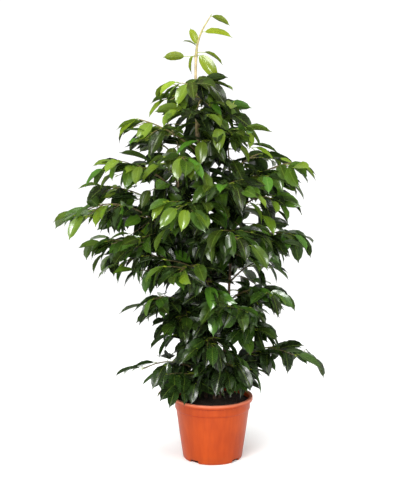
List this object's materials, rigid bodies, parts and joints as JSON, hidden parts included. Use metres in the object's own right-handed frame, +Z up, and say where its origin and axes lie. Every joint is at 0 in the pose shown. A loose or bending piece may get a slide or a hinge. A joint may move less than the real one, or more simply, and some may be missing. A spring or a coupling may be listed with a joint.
{
  "type": "potted weeping fig",
  "caption": "Bushy weeping fig with arching leafy branches on slim woody stems, standing in soil in a round tapered plastic pot.",
  "frame": {"origin": "centre of the pot's underside, on the surface that the plant stands on", "axes": "+Z up along the pot's axis and the stems, -Y towards the plant's front"},
  "size_m": [0.6944, 0.543, 1.1359],
  "materials": {
    "pot": "terracotta-orange moulded plastic with a soft sheen",
    "soil": "dark, moist, crumbly potting soil",
    "bark": "smooth grey-brown bark with fine lenticels",
    "leaf": "glossy dark green leaves, lighter and yellower when young"
  },
  "bodies": {
    "root": {"branch_back_01": "leaf", "branch_back_02": "leaf", "branch_back_03": "leaf", "branch_back_04": "leaf", "branch_back_05": "leaf", "branch_back_06": "leaf", "branch_back_07": "leaf", "branch_back_08": "leaf", "branch_back_09": "leaf", "branch_back_10": "leaf", "branch_front_01": "leaf", "branch_front_02": "leaf", "branch_front_03": "leaf", "branch_front_04": "leaf", "branch_front_05": "leaf", "branch_front_06": "leaf", "branch_front_07": "leaf", "branch_front_08": "leaf", "branch_front_09": "leaf", "branch_front_10": "leaf", "branch_front_11": "leaf", "branch_left_01": "leaf", "branch_left_02": "leaf", "branch_left_03": "leaf", "branch_left_04": "leaf", "branch_left_05": "leaf", "branch_left_06": "leaf", "branch_left_07": "leaf", "branch_left_08": "leaf", "branch_left_09": "leaf", "branch_left_10": "leaf", "branch_left_11": "leaf", "branch_left_12": "leaf", "branch_left_13": "leaf", "branch_left_14": "leaf", "branch_left_15": "leaf", "branch_right_01": "leaf", "branch_right_02": "leaf", "branch_right_03": "leaf", "branch_right_04": "leaf", "branch_right_05": "leaf", "branch_right_06": "leaf", "branch_right_07": "leaf", "branch_right_08": "leaf", "branch_right_09": "leaf", "branch_right_10": "leaf", "branch_right_11": "leaf", "branch_right_12": "leaf", "branch_right_13": "leaf", "branch_right_14": "leaf", "branch_right_15": "leaf", "branch_right_16": "leaf", "leader_left": "leaf", "leader_main": "leaf", "leader_right": "leaf", "pot": "pot", "soil": "soil", "stem_left": "bark", "stem_main": "bark", "stem_right": "bark"}
  },
  "joints": []
}
